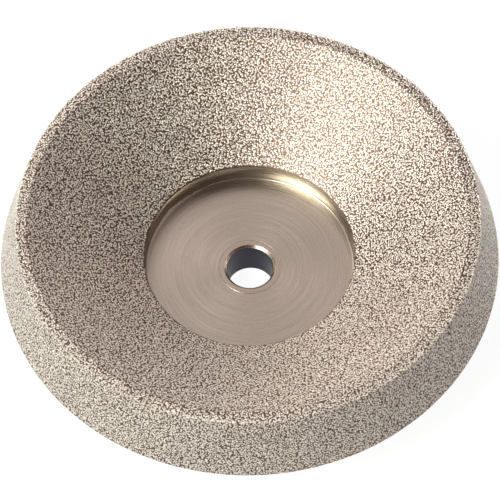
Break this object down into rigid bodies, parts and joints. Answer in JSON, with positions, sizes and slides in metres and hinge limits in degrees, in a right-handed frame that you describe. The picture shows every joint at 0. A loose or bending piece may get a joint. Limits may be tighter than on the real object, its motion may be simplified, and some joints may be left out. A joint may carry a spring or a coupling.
{
  "type": "diamond grinding wheel",
  "caption": "Dish-shaped steel grinding wheel with a plain bore in a round flange recess; diamond grit in nickel covers its inside cone, flat rim and steep outer bevel.",
  "frame": {"origin": "centre of the back face, on the wheel's axis", "axes": "+Z along the wheel's axis, out of the open dish; the wheel is round, so +X and +Y are any two directions square to it"},
  "size_m": [0.1016, 0.1016, 0.0269],
  "materials": {
    "turned_steel": "bare steel, face turned, with fine rings about the axis and a satin shine",
    "bored_steel": "bare steel bush, bored and faced, with a bright chamfer",
    "diamond_grit": "single layer of coarse diamond grit in electroplated nickel, rough and sparkling"
  },
  "bodies": {
    "root": {"wheel_body": "turned_steel", "bore_bush": "bored_steel", "cone_grit": "diamond_grit", "rim_grit": "diamond_grit", "bevel_grit": "diamond_grit"}
  },
  "joints": []
}
